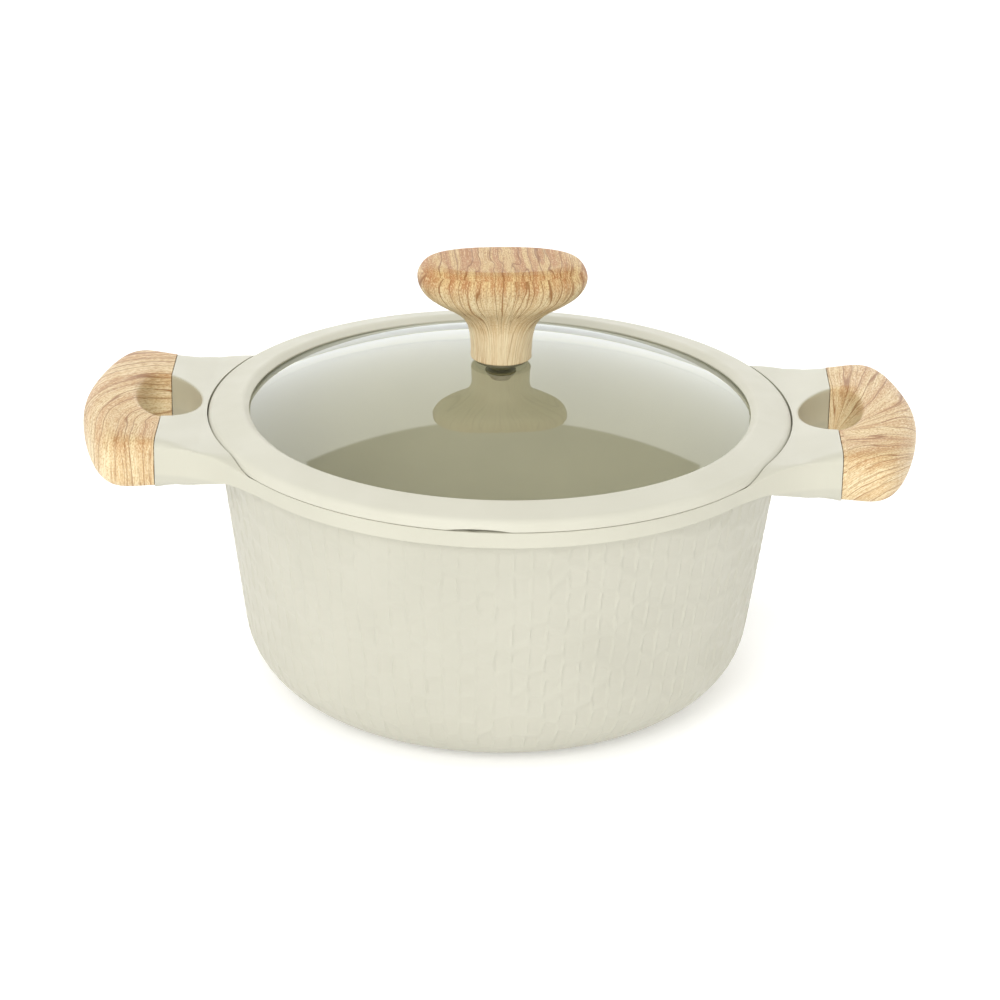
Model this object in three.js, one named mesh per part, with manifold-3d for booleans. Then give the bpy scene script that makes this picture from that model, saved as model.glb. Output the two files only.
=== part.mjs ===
// A two-handled casserole with a domed glass lid. Millimetres, +Z up.
// The origin is the middle of the flat base, and the handles lie along X.
import * as THREE from "three";
import { mergeVertices } from "three/addons/utils/BufferGeometryUtils.js";
import Module from "manifold-3d";

const wasm = await Module();
wasm.setup();

// Driving dimensions
const gap = 0.3; // left between pieces that touch
const rimHeight = 121; // top of the pot's rim
const mouthRadius = 120; // a 24 cm pot, measured inside the mouth
const wallThickness = 4;
const wallLean = 0.139; // how far the wall leans out for each millimetre of height
const bandRadius = 127.8; // the smooth band round the rim
const bandHeight = 7;
const floorThickness = 6;
const baseFillet = 35;
const plateRadius = 68; // steel disc let into the base
const plateThickness = 1;
const sealRadius = 128.2; // the lid's silicone rim
const sealWindowRadius = 110.1; // the glass shows inside this
const sealTopHeight = 129.7;
const glassRadius = 119;
const glassThickness = 3.5;
const domeRadius = 105; // where the dome meets the glass's flatter margin
const domeHeight = 148.6; // top of the glass at its middle
const marginHeight = 128.6; // top of the glass where the dome ends
const marginSlope = 0.193;
const knobBase = 150.5;
const knobHalfLength = 36.9;
const knobHalfWidth = 22;
const knobTop = 195;
const knobTurn = 5; // degrees that the knob is screwed round
const jointReach = 146.75; // where a grip meets its ear
const jointHeight = 118.5; // middle of the grip's section there
const handleHalfWidth = 55;
const fingerHalfWidth = 23.8; // of the finger opening, at the joint
const jointHalfDepth = 10.6; // half the height of that section
const gripReach = 183;
const tangLength = 17;
const tangWidth = 14;
const tangHeight = 10;
const screwReach = 157.5; // grip screws, from the pot's axis
const screwOffset = 41;
const handleZone = { low: 90, high: 150 }; // heights that take in everything on the handles
const roundSteps = 72; // facets round the large round pieces
const smallSteps = 16;

const sides = [
  { name: "right", turn: 0 },
  { name: "left", turn: Math.PI },
];
const prongs = [
  { name: "front", side: -1 },
  { name: "back", side: 1 },
];

// Materials
const metalCoat = new THREE.MeshStandardMaterial({ color: 0xd6d4c0, roughness: 0.55, metalness: 0.1 });
const silicone = new THREE.MeshStandardMaterial({ color: 0xd9d8c6, roughness: 0.7, metalness: 0 });
const woodLook = new THREE.MeshStandardMaterial({ color: 0xdcb985, roughness: 0.5, metalness: 0 });
const steel = new THREE.MeshStandardMaterial({ color: 0xb9bbbd, roughness: 0.3, metalness: 1 });
const brass = new THREE.MeshStandardMaterial({ color: 0xc7a456, roughness: 0.35, metalness: 1 });
const glass = new THREE.MeshStandardMaterial({
  color: 0xdfe8e0,
  roughness: 0.05,
  metalness: 0,
  transparent: true,
  opacity: 0.35,
});

const group = new THREE.Group();

function addPiece(name, solid, material, turn = 0) {
  const mesh = new THREE.Mesh(toGeometry(solid), material);
  mesh.name = name;
  mesh.rotation.z = turn;
  group.add(mesh);
}

// Solids from three.js geometry, and back
function toSolid(geometry) {
  const bare = geometry.index ? geometry.toNonIndexed() : geometry.clone();
  bare.deleteAttribute("normal");
  bare.deleteAttribute("uv");
  const merged = mergeVertices(bare, 1e-3);
  return new wasm.Manifold(
    new wasm.Mesh({
      numProp: 3,
      vertProperties: merged.attributes.position.array,
      triVerts: new Uint32Array(merged.index.array),
    }),
  );
}

function toGeometry(solid) {
  const { vertProperties, triVerts } = solid.getMesh();
  const geometry = new THREE.BufferGeometry();
  geometry.setAttribute("position", new THREE.BufferAttribute(vertProperties, 3));
  geometry.setIndex(new THREE.BufferAttribute(triVerts, 1));
  geometry.computeVertexNormals();
  return geometry;
}

// Turns a profile of [radius, height] points about Z. It runs anticlockwise, outwards along the bottom.
function turned(profile, steps = roundSteps) {
  const points = profile.map(([radius, height]) => new THREE.Vector2(radius, height));
  return toSolid(new THREE.LatheGeometry(points, steps).rotateX(Math.PI / 2));
}

function ring(innerRadius, outerRadius, low, high, steps = smallSteps) {
  return turned(
    [
      [innerRadius, low],
      [outerRadius, low],
      [outerRadius, high],
      [innerRadius, high],
      [innerRadius, low],
    ],
    steps,
  );
}

function post(radius, low, high, x = 0, y = 0, steps = smallSteps) {
  const cylinder = new THREE.CylinderGeometry(radius, radius, high - low, steps);
  return toSolid(cylinder.rotateX(Math.PI / 2).translate(x, y, (low + high) / 2));
}

// Points along an arc in a profile, from one angle to another
function arc(centreX, centreY, radius, startAngle, endAngle, steps) {
  return Array.from({ length: steps + 1 }, (_, step) => {
    const angle = startAngle + ((endAngle - startAngle) * step) / steps;
    return [centreX + radius * Math.cos(angle), centreY + radius * Math.sin(angle)];
  });
}

// A power that keeps the sign. What is only a rounding error away from 0 becomes 0.
function signedPower(value, power) {
  return Math.abs(value) < 1e-9 ? 0 : Math.sign(value) * Math.abs(value) ** power;
}

// The pot

// Points where a wall that leans outwards curves into a flat floor
function wallCurve(wallRadiusAtZero, floorHeight, radius, steps) {
  const lean = Math.atan(wallLean);
  const centreHeight = floorHeight + radius;
  const wallRadius = wallRadiusAtZero + wallLean * centreHeight;
  return arc(wallRadius - radius / Math.cos(lean), centreHeight, radius, -Math.PI / 2, -lean, steps);
}

function potShell() {
  const bandFoot = rimHeight - bandHeight;
  const outerRadius = mouthRadius + wallThickness;
  const outerAtZero = outerRadius - wallLean * bandFoot;
  const recess = plateRadius + gap;
  const edge = 0.8; // rounded corners of the rim band
  return turned([
    [0, plateThickness + gap],
    [recess, plateThickness + gap],
    [recess, 0],
    ...wallCurve(outerAtZero, 0, baseFillet, 6),
    [outerRadius, bandFoot],
    [bandRadius - edge, bandFoot],
    [bandRadius, bandFoot + edge],
    [bandRadius, rimHeight - edge],
    [bandRadius - edge, rimHeight],
    [0, rimHeight],
  ]);
}

function potInside() {
  const innerAtZero = mouthRadius - wallLean * rimHeight;
  const above = 30; // carries the cut past the rim
  return turned([
    [0, floorThickness],
    ...wallCurve(innerAtZero, floorThickness, baseFillet - wallThickness, 5),
    [mouthRadius, rimHeight],
    [mouthRadius, rimHeight + above],
    [0, rimHeight + above],
  ]);
}

// An extrusion along Z of an outline in X and Y
function standing(shape, low, high, curveSteps = 8) {
  const settings = { depth: high - low, bevelEnabled: false, curveSegments: curveSteps };
  return toSolid(new THREE.ExtrudeGeometry(shape, settings).translate(0, 0, low));
}

// An extrusion along Y of an outline in X and Z
function lying(points, front, back) {
  const shape = new THREE.Shape(points.map(([x, z]) => new THREE.Vector2(x, z)));
  const settings = { depth: back - front, bevelEnabled: false };
  return toSolid(new THREE.ExtrudeGeometry(shape, settings).rotateX(Math.PI / 2).translate(0, back, 0));
}

// An ear, seen from above: it flares into the rim and has the near half of the finger hole
function earOutline() {
  const rootReach = 107;
  const rootHalfWidth = 70;
  const flareReach = 124;
  const shape = new THREE.Shape();
  shape.moveTo(rootReach, -rootHalfWidth);
  shape.quadraticCurveTo(flareReach, -handleHalfWidth, jointReach, -handleHalfWidth);
  shape.lineTo(jointReach, handleHalfWidth);
  shape.quadraticCurveTo(flareReach, handleHalfWidth, rootReach, rootHalfWidth);
  shape.closePath();
  return shape;
}

function fingerHole() {
  const centre = 155;
  const halfLength = 23.6;
  const halfWidth = fingerHalfWidth + 1.8;
  const shape = new THREE.Shape().absellipse(centre, 0, halfLength, halfWidth, 0, 2 * Math.PI);
  return standing(shape, handleZone.low, handleZone.high, 10);
}

// The ear's top rises outwards, and falls away to the rim at its front and back
function ear() {
  const inside = 90; // reach where the ear is already within the rim band
  const rootTop = rimHeight + 4.6;
  const rootUnderside = rimHeight - bandHeight;
  const topside = jointHeight + jointHalfDepth;
  const underside = jointHeight - jointHalfDepth;
  const sideView = lying(
    [
      [inside, rootUnderside],
      [bandRadius - 12, rootUnderside],
      [bandRadius - 3, underside + 2.2],
      [bandRadius + 7, underside + 0.8],
      [jointReach, underside],
      [jointReach, topside],
      [sealRadius + gap, rootTop],
      [inside, rootTop],
    ],
    -mouthRadius,
    mouthRadius,
  );
  let solid = standing(earOutline(), handleZone.low, handleZone.high).intersect(sideView);
  solid = solid.intersect(toSolid(toGeometry(earFlanks(topside)).rotateZ(Math.PI / 2)));
  solid = solid.subtract(post(sealRadius + gap, rimHeight, handleZone.high, 0, 0, roundSteps));
  solid = solid.subtract(fingerHole());
  for (const prong of prongs) {
    solid = solid.add(tang(prong.side, 0));
  }
  return solid;
}

// What an ear seen from its end stays within: flat on top, with front and back sloping to the rim
function earFlanks(topside) {
  const flatHalfWidth = 50;
  const rootHalfWidth = 80;
  const rootTop = rimHeight - 2;
  return lying(
    [
      [-rootHalfWidth, handleZone.low],
      [rootHalfWidth, handleZone.low],
      [rootHalfWidth, rootTop],
      [flatHalfWidth, topside + 1],
      [-flatHalfWidth, topside + 1],
      [-rootHalfWidth, rootTop],
    ],
    -jointReach,
    0,
  );
}

// The tongue of an ear that a grip slides onto, or the socket for it when clearance is added
function tang(side, clearance) {
  const start = jointReach - 2;
  const length = jointReach + tangLength + clearance - start;
  const block = new THREE.BoxGeometry(length, tangWidth + 2 * clearance, tangHeight + 2 * clearance);
  return toSolid(block.translate(start + length / 2, side * screwOffset, jointHeight));
}

function screwHole(side, low, high, radius) {
  return post(radius, low, high, screwReach, side * screwOffset);
}

const tangUnderside = jointHeight - tangHeight / 2;
const screwRadius = 2;
const screwBite = 8; // how far a screw goes up into its tang

function potBody() {
  const screwHoleTop = tangUnderside + screwBite + 0.5;
  let wing = ear();
  for (const prong of prongs) {
    wing = wing.subtract(screwHole(prong.side, handleZone.low, screwHoleTop, screwRadius + gap));
  }
  let solid = potShell();
  for (const { turn } of sides) {
    solid = solid.add(toSolid(toGeometry(wing).rotateZ(turn)));
  }
  return solid.subtract(potInside());
}

// The grips

// A grip's contour from above at an angle of -90 to 90 degrees: a rounded U from front to back
function gripContour(angle, reach, halfWidth, power, bulge) {
  const start = jointReach + gap;
  const swell = 1 + bulge * Math.sin(2 * angle) ** 2;
  return [
    start + (reach - start) * signedPower(Math.cos(angle), power),
    halfWidth * signedPower(Math.sin(angle), power) * swell,
  ];
}

// Power of the section's superellipse: it squares up on the finger's side and towards the ear
function gripSquareness(angle, onFingerSide) {
  const nearEar = Math.abs(Math.sin(angle));
  return onFingerSide ? 0.5 - 0.2 * nearEar : 0.9 - 0.6 * nearEar ** 3;
}

// A bar of rounded section, bent between the outer and the inner contour
function gripShape() {
  const innerReach = 158.5;
  const fattening = 2.9;
  const lift = 1.2;
  const barrel = new THREE.CylinderGeometry(1, 1, 1, 16, 18);
  const position = barrel.attributes.position;
  for (let index = 0; index < position.count; index += 1) {
    const angle = position.getY(index) * Math.PI;
    const sectionPower = gripSquareness(angle, position.getX(index) < 0);
    const across = signedPower(position.getX(index), sectionPower);
    const up = signedPower(position.getZ(index), sectionPower);
    const [outerX, outerY] = gripContour(angle, gripReach, handleHalfWidth, 1, 0.26);
    const [innerX, innerY] = gripContour(angle, innerReach, fingerHalfWidth, 0.8, 0);
    const x = (outerX + innerX + across * (outerX - innerX)) / 2;
    const y = (outerY + innerY + across * (outerY - innerY)) / 2;
    const middle = jointHeight + lift * Math.cos(angle);
    const halfDepth = jointHalfDepth + fattening * Math.cos(angle);
    position.setXYZ(index, x, y, middle + up * halfDepth);
  }
  return toSolid(barrel);
}

const bossFoot = 105.6;
const seatThickness = 2.7; // of the grip, between washer and tang
const screwSeat = tangUnderside - gap - seatThickness;

function grip() {
  const bossRadius = 7;
  const counterboreRadius = 4.3;
  let solid = gripShape();
  for (const { side } of prongs) {
    solid = solid.add(screwHole(side, bossFoot, tangUnderside, bossRadius));
  }
  for (const { side } of prongs) {
    solid = solid.subtract(tang(side, gap));
    solid = solid.subtract(screwHole(side, handleZone.low, screwSeat, counterboreRadius));
    solid = solid.subtract(screwHole(side, handleZone.low, tangUnderside + 1, screwRadius + gap));
  }
  return solid;
}

// Cross slot cut up into a screw head
function crossSlot(x, y, foot, depth, length) {
  const width = 1;
  const bar = new THREE.BoxGeometry(length, width, 2 * depth).translate(x, y, foot);
  const otherBar = new THREE.BoxGeometry(width, length, 2 * depth).translate(x, y, foot);
  return toSolid(bar).add(toSolid(otherBar));
}

// A screw that points up: its head is below
function screw(radius, headRadius, headFoot, headHeight, tip, x = 0, y = 0) {
  const head = post(headRadius, headFoot, headFoot + headHeight, x, y);
  const shank = post(radius, headFoot + headHeight / 2, tip, x, y);
  return head.add(shank).subtract(crossSlot(x, y, headFoot, headHeight / 2, headRadius * 1.1));
}

const washerThickness = 0.8;

function gripWasher(side) {
  const washerRadius = 3.9;
  const high = screwSeat - gap;
  const disc = screwHole(side, high - washerThickness, high, washerRadius);
  return disc.subtract(screwHole(side, handleZone.low, handleZone.high, screwRadius + gap));
}

function gripScrew(side) {
  const headRadius = 3.6;
  const headHeight = 2.2;
  const headFoot = screwSeat - 2 * gap - washerThickness - headHeight;
  const tip = tangUnderside + screwBite;
  return screw(screwRadius, headRadius, headFoot, headHeight, tip, screwReach, side * screwOffset);
}

// The lid

const domeSag = domeHeight - marginHeight;
const domeCurve = (domeRadius ** 2 + domeSag ** 2) / (2 * domeSag);

function glassTop(radius) {
  if (radius > domeRadius) {
    return marginHeight - (radius - domeRadius) * marginSlope;
  }
  return domeHeight - domeCurve + Math.sqrt(domeCurve ** 2 - radius ** 2);
}

function lidGlass() {
  const holeRadius = 5.2;
  const radii = [holeRadius, 30, 54, 74, 91, domeRadius, glassRadius];
  const top = radii.map((radius) => [radius, glassTop(radius)]);
  const bottom = radii.map((radius) => [radius, glassTop(radius) - glassThickness]);
  return turned([...bottom, ...top.reverse(), bottom[0]]);
}

// The silicone rim: a groove for the glass, a flat face that rests on the pot and a lip inside it
function lidSeal() {
  const foot = rimHeight + gap;
  const grooveEnd = glassRadius + gap;
  const sealTopOuter = 126.3;
  const lipRadius = mouthRadius - 0.6;
  const lipFoot = 115.5;
  const lowerLipRadius = 111.5;
  const body = turned([
    [lipRadius - 3.2, lipFoot],
    [lipRadius - 1.2, lipFoot],
    [lipRadius, foot - 0.8],
    [lipRadius, foot],
    [sealRadius - 0.5, foot],
    [sealRadius, foot + 0.5],
    [sealRadius - 0.3, sealTopOuter - 1.2],
    [sealRadius - 1.5, sealTopOuter],
    [sealWindowRadius + 0.8, sealTopHeight],
    [sealWindowRadius, sealTopHeight - 0.6],
    [sealWindowRadius, glassTop(sealWindowRadius) + gap],
    [grooveEnd, glassTop(grooveEnd) + gap],
    [grooveEnd, glassTop(grooveEnd) - glassThickness - gap],
    [lowerLipRadius, glassTop(lowerLipRadius) - glassThickness - gap],
    [lowerLipRadius, foot + 0.3],
    [lipRadius - 4, foot - 0.6],
    [lipRadius - 3.2, lipFoot],
  ]);
  return body.subtract(steamVent(foot));
}

// A shallow arch under the front of the rim, and a slot through the lip behind it
function steamVent(foot) {
  const azimuth = THREE.MathUtils.degToRad(-3.2);
  const archWidth = 27;
  const archRise = 1.1;
  const archDepth = 30; // longer than the rim is wide
  const slotWidth = 9;
  const slotHeight = 14;
  const archRadius = (archWidth ** 2 / 4 + archRise ** 2) / (2 * archRise);
  const roof = foot + archRise;
  const arch = new THREE.CylinderGeometry(archRadius, archRadius, archDepth, 96);
  arch.translate(0, -sealRadius, roof - archRadius);
  const slot = new THREE.BoxGeometry(slotWidth, archDepth, slotHeight);
  slot.translate(0, 6 - mouthRadius, roof - slotHeight / 2);
  const underRim = new THREE.BoxGeometry(2 * archWidth, 14.5, 2 * archWidth);
  underRim.translate(0, 5 - sealRadius, foot);
  const opening = toSolid(arch).intersect(toSolid(underRim)).add(toSolid(slot));
  return toSolid(toGeometry(opening).rotateZ(azimuth));
}

// The knob, seen from the front: a round stem that flares into an oblong cap
function knob() {
  const stemRadius = 13.4;
  const socketRadius = 4.8;
  const socketTop = knobBase + 14;
  const flareFoot = 165;
  const capFoot = 178;
  const squareness = 0.2;
  const round = toGeometry(
    turned(
      [
        [0, knobBase],
        [stemRadius, knobBase],
        [stemRadius + 0.5, 161],
        [stemRadius + 1.8, 166],
        [stemRadius + 4.6, 169.8],
        [stemRadius + 9.2, 173.1],
        [knobHalfLength - 8.5, 176.3],
        [knobHalfLength - 3.6, 180.1],
        [knobHalfLength - 0.8, 184.1],
        [knobHalfLength, 187.9],
        [knobHalfLength - 1, 191.5],
        [knobHalfLength - 3.6, 194],
        [knobHalfLength - 8, 194.8],
        [0, knobTop],
      ],
      40,
    ),
  );
  const narrowing = 1 - knobHalfWidth / knobHalfLength;
  const position = round.attributes.position;
  for (let index = 0; index < position.count; index += 1) {
    const share = THREE.MathUtils.smoothstep(position.getZ(index), flareFoot, capFoot);
    const radius = Math.hypot(position.getX(index), position.getY(index));
    const angle = Math.atan2(position.getY(index), position.getX(index));
    const power = 1 - squareness * share;
    position.setX(index, radius * signedPower(Math.cos(angle), power));
    position.setY(index, radius * signedPower(Math.sin(angle), power) * (1 - narrowing * share));
  }
  return toSolid(round).subtract(post(socketRadius, knobBase - 5, socketTop));
}

const knobScrewRadius = 2.5;
const knobScrewReach = 12; // how far the screw goes up into the knob
const knobBore = knobScrewRadius + gap;

// A threaded sleeve moulded into the knob's stem
function knobInsert() {
  const outerRadius = 4.5;
  const length = 13.2;
  const low = knobBase + gap;
  return ring(knobBore, outerRadius, low, low + length);
}

function knobGasket() {
  const flangeRadius = 11.5;
  const sleeveRadius = 4.9;
  const low = domeHeight + gap;
  const sleeve = ring(knobBore, sleeveRadius, domeHeight - glassThickness + gap, low + 0.5);
  return ring(knobBore, flangeRadius, low, knobBase - gap).add(sleeve);
}

// What lies under the glass: a soft washer, a steel washer and the screw
const softWasherTop = domeHeight - glassThickness - 2 * gap;
const softWasherThickness = 0.9;
const softWasherRadius = 6.8;
const steelWasherTop = softWasherTop - softWasherThickness - gap;
const steelWasherThickness = 0.8;
const steelWasherRadius = 6.2;

function softWasher() {
  return ring(knobBore, softWasherRadius, softWasherTop - softWasherThickness, softWasherTop);
}

function steelWasher() {
  return ring(knobBore, steelWasherRadius, steelWasherTop - steelWasherThickness, steelWasherTop);
}

function knobScrew() {
  const headRadius = 4.6;
  const headHeight = 2;
  const headFoot = steelWasherTop - steelWasherThickness - gap - headHeight;
  return screw(knobScrewRadius, headRadius, headFoot, headHeight, knobBase + knobScrewReach);
}

// The assembly
addPiece("pot_body", potBody(), metalCoat);
addPiece("induction_plate", post(plateRadius, 0, plateThickness, 0, 0, roundSteps), steel);
for (const { name, turn } of sides) {
  addPiece(`grip_${name}`, grip(), woodLook, turn);
  for (const prong of prongs) {
    // A half turn swaps front and back on the left handle
    const side = turn === 0 ? prong.side : -prong.side;
    addPiece(`grip_screw_${name}_${prong.name}`, gripScrew(side), steel, turn);
    addPiece(`grip_washer_${name}_${prong.name}`, gripWasher(side), steel, turn);
  }
}
addPiece("lid_glass", lidGlass(), glass);
addPiece("lid_seal", lidSeal(), silicone);
addPiece("knob", knob(), woodLook, THREE.MathUtils.degToRad(knobTurn));
addPiece("knob_insert", knobInsert(), brass);
addPiece("knob_gasket", knobGasket(), silicone);
addPiece("knob_soft_washer", softWasher(), silicone);
addPiece("knob_steel_washer", steelWasher(), steel);
addPiece("knob_screw", knobScrew(), steel);

export default group;
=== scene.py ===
"""The looks of a two-handled casserole with a domed glass lid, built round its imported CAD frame.

Lengths are millimetres until a mesh is made. The handles lie along X, +Z is up, and the camera
looks along +Y. Each piece stands for one CAD node and moves with that node's body.
"""
import math

import bmesh
import bpy
import numpy as np
from mathutils import Matrix, Vector


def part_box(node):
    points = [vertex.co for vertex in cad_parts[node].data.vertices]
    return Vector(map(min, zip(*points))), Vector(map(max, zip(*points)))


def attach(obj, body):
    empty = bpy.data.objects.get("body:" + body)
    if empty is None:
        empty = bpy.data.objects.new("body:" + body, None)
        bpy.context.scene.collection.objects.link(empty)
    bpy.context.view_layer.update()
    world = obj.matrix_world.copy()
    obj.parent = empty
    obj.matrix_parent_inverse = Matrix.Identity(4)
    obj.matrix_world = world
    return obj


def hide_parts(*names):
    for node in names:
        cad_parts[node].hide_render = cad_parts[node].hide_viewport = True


MM = 0.001

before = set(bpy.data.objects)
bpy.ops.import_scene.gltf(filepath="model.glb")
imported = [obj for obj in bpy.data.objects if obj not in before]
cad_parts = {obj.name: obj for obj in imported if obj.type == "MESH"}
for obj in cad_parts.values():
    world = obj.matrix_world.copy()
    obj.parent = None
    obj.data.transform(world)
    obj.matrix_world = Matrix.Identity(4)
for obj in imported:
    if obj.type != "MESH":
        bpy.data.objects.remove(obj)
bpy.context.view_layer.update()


def corners(node):
    """Lowest and highest corner of a CAD node, in millimetres."""
    return [np.array(corner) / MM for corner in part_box(node)]


# Places read from the frame
PLATE_TOP = corners("induction_plate")[1][2]
PLATE_RADIUS = corners("induction_plate")[1][1]
SEAL_RADIUS = corners("lid_seal")[1][1]
SEAL_TOP = corners("lid_seal")[1][2]
SEAL_FOOT = corners("lid_seal")[0][2]  # the end of the lip inside the pot
GLASS_RADIUS = corners("lid_glass")[1][1]
KNOB_LOW, KNOB_HIGH = (corner[2] for corner in corners("knob"))
GRIP_LOW, GRIP_HIGH = corners("grip_right")
SCREW_LOW, SCREW_HIGH = corners("grip_screw_right_back")
WASHER_LOW, WASHER_HIGH = corners("grip_washer_right_back")
KNOB_SCREW_LOW, KNOB_SCREW_HIGH = corners("knob_screw")

# Driving dimensions
GAP = 0.3
RIM = 121.0  # top of the pot's rim
MOUTH_RADIUS = 120.0
WALL_THICKNESS = 4.0
WALL_LEAN = 0.139  # outwards for each millimetre of height
BAND_RADIUS = 127.8
BAND_FOOT = 114.0
FLOOR = 6.0
BASE_FILLET = 35.0
HANDLE_HALF_WIDTH = 55.0
FINGER_HALF_WIDTH = 23.8
JOINT_REACH = 146.75  # where a grip meets its ear
JOINT_HEIGHT = 118.1
JOINT_HALF_DEPTH = 11.0
JOINT_SQUARENESS = 0.3  # power of the superellipse that the section has at the joint
FINGER_HOLE = (155.0, 23.6, 25.6)  # centre, half length and half width of the opening in an ear
TANG = (17.0, 14.0, 10.0)  # length, width and height of the tongue inside a grip
SCREW_BORE = 2.8  # radius of the holes that the knob's screw goes through
GLASS_THICKNESS = 3.5
DOME_RADIUS = 110.0
DOME_TOP = 148.6
MARGIN_TOP = 126.6  # top of the glass where the dome ends
MARGIN_SLOPE = 0.08
WINDOW_RADIUS = 110.1  # the glass shows inside this
MARK_COLUMNS = 100  # of hammer marks round the pot
HAMMER_DEPTH = 0.7

SCREW_X, SCREW_Y = (SCREW_LOW[:2] + SCREW_HIGH[:2]) / 2

# Colours, in linear light
CREAM_LOW = (0.505, 0.492, 0.402)
CREAM_HIGH = (0.530, 0.516, 0.424)
FLECK = (0.44, 0.42, 0.33)
# painted shade that darkens the coating below the band's foot, over the hammered wall
PAINTED_WALL_SHADE = (0.92, 0.92, 0.93)
HOLE_SHADE = (0.82, 0.79, 0.70)  # darkens the walls of the finger openings, beyond what the light does
SEAL_LOW = (0.535, 0.522, 0.432)
SEAL_HIGH = (0.556, 0.543, 0.454)
DARK_LOW = (0.150, 0.140, 0.085)
DARK_HIGH = (0.180, 0.170, 0.105)
WOOD_CREAM = (0.805, 0.710, 0.490)
WOOD_PALE = (0.715, 0.590, 0.355)
WOOD_TAN = (0.620, 0.450, 0.240)
WOOD_BROWN = (0.400, 0.220, 0.090)
WOOD_VEIN = (0.280, 0.125, 0.036)
# painted shade, tinted brown, on the upper faces of the knob and grips
WOOD_TOP_PAINTED_SHADE = (0.820, 0.740, 0.560)
WOOD_ROSE = (0.470, 0.235, 0.110)
GLASS_TINT = (0.992, 0.990, 0.932)

# Light, as background strengths and softbox watts
PANEL = 1.95  # the bright panel behind the pot
SURROUND = 1.15  # all round in front, below the ceiling
CEILING = 0.5
SIDE_LEAN = 0.2  # how much brighter the left of the surround is than its middle
FRONT_POWER = 29.0
TOP_POWER = 16.0
FLOOR_GLOW = 0.25


# Meshes


def linked(name, mesh):
    """A new object in the scene with this mesh."""
    thing = bpy.data.objects.new(name, mesh)
    bpy.context.scene.collection.objects.link(thing)
    return thing


def store_grain(mesh, across, along, face):
    """Stores where each point lies on the wood-effect print, in millimetres, for its material."""
    grain = mesh.attributes.new("grain", "FLOAT_VECTOR", "POINT")
    grain.data.foreach_set("vector", np.stack((across, along, face), 1).ravel())


def solid(name, points, faces, grain=None):
    """An object from points in millimetres and faces of any size, made to point outwards."""
    mesh = bpy.data.meshes.new(name)
    mesh.from_pydata((np.asarray(points, float) * MM).tolist(), [], [list(face) for face in faces])
    if grain is not None:
        store_grain(mesh, *grain)
    work = bmesh.new()
    work.from_mesh(mesh)
    bmesh.ops.remove_doubles(work, verts=work.verts, dist=0.001 * MM)
    bmesh.ops.recalc_face_normals(work, faces=work.faces)
    work.to_mesh(mesh)
    work.free()
    return linked(name, mesh)


def grid_faces(rows, columns, closed_rows=False, closed_columns=False):
    """Quads of a grid of points numbered row by row."""
    row = np.arange(rows if closed_rows else rows - 1)
    column = np.arange(columns if closed_columns else columns - 1)
    row, column = (part.ravel() for part in np.meshgrid(row, column, indexing="ij"))
    next_row = (row + 1) % rows
    next_column = (column + 1) % columns
    here = row * columns + column
    across = row * columns + next_column
    opposite = next_row * columns + next_column
    down = next_row * columns + column
    return np.stack((here, across, opposite, down), 1)


def filleted(outline, turn_step=math.radians(12)):
    """Points of a closed outline given as (x, y, radius), where each radius rounds its corner."""
    points = []
    count = len(outline)
    for index, (x, y, radius) in enumerate(outline):
        here = np.array((x, y), float)
        if radius == 0:
            points.append(here)
            continue
        before = np.array(outline[index - 1][:2]) - here
        after = np.array(outline[(index + 1) % count][:2]) - here
        before /= np.linalg.norm(before)
        after /= np.linalg.norm(after)
        half_angle = math.acos(np.clip(before @ after, -1, 1)) / 2
        inwards = (before + after) / np.linalg.norm(before + after)
        centre = here + inwards * radius / math.sin(half_angle)
        start = here + before * radius / math.tan(half_angle) - centre
        end = here + after * radius / math.tan(half_angle) - centre
        begin = math.atan2(start[1], start[0])
        sweep = math.remainder(math.atan2(end[1], end[0]) - begin, math.tau)
        steps = max(2, math.ceil(abs(sweep) / turn_step))
        for angle in begin + np.linspace(0, sweep, steps + 1):
            points.append(centre + radius * np.array((math.cos(angle), math.sin(angle))))
    return np.array(points)


def resampled(points, spacing):
    """The same line with a point at least every so many millimetres."""
    parts = []
    for start, end in zip(points[:-1], points[1:]):
        steps = max(1, math.ceil(np.linalg.norm(end - start) / spacing))
        parts.append(start + (end - start) * np.arange(steps)[:, None] / steps)
    return np.vstack((*parts, points[-1:]))


def turned_points(profile, steps):
    """Points of a profile of (radius, height) carried round Z, one row for each profile point."""
    angle = np.arange(steps) * math.tau / steps
    radius, height = np.asarray(profile, float).T
    x = np.outer(radius, np.cos(angle))
    y = np.outer(radius, np.sin(angle))
    z = np.repeat(height[:, None], steps, 1)
    return np.stack((x, y, z), 2)


def turned(name, profile, steps=192, closed=True):
    """An object of revolution about Z."""
    points = turned_points(profile, steps)
    faces = grid_faces(len(profile), steps, closed_rows=closed, closed_columns=True)
    return solid(name, points.reshape(-1, 3), faces)


def block(low, high):
    """A plain box, used to cut or to add hidden parts."""
    low, high = np.asarray(low, float), np.asarray(high, float)
    unit = np.array([(x, y, z) for x in (0, 1) for y in (0, 1) for z in (0, 1)])
    faces = [(0, 1, 3, 2), (4, 6, 7, 5), (0, 4, 5, 1), (2, 3, 7, 6), (0, 2, 6, 4), (1, 5, 7, 3)]
    return solid("block", low + unit * (high - low), faces)


def moved(thing, x, y):
    """The same object with its mesh moved sideways."""
    thing.data.transform(Matrix.Translation((x * MM, y * MM, 0)))
    return thing


def post(radius, low, high, x=0.0, y=0.0, steps=96):
    """A plain cylinder along Z, used to cut or to join."""
    return moved(turned("post", [(0, low), (radius, low), (radius, high), (0, high)], steps), x, y)


def applied(thing):
    """Makes the object's modifiers part of its mesh."""
    bpy.context.view_layer.update()
    seen = thing.evaluated_get(bpy.context.evaluated_depsgraph_get())
    mesh = bpy.data.meshes.new_from_object(seen)
    thing.modifiers.clear()
    thing.data = mesh
    return thing


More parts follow.
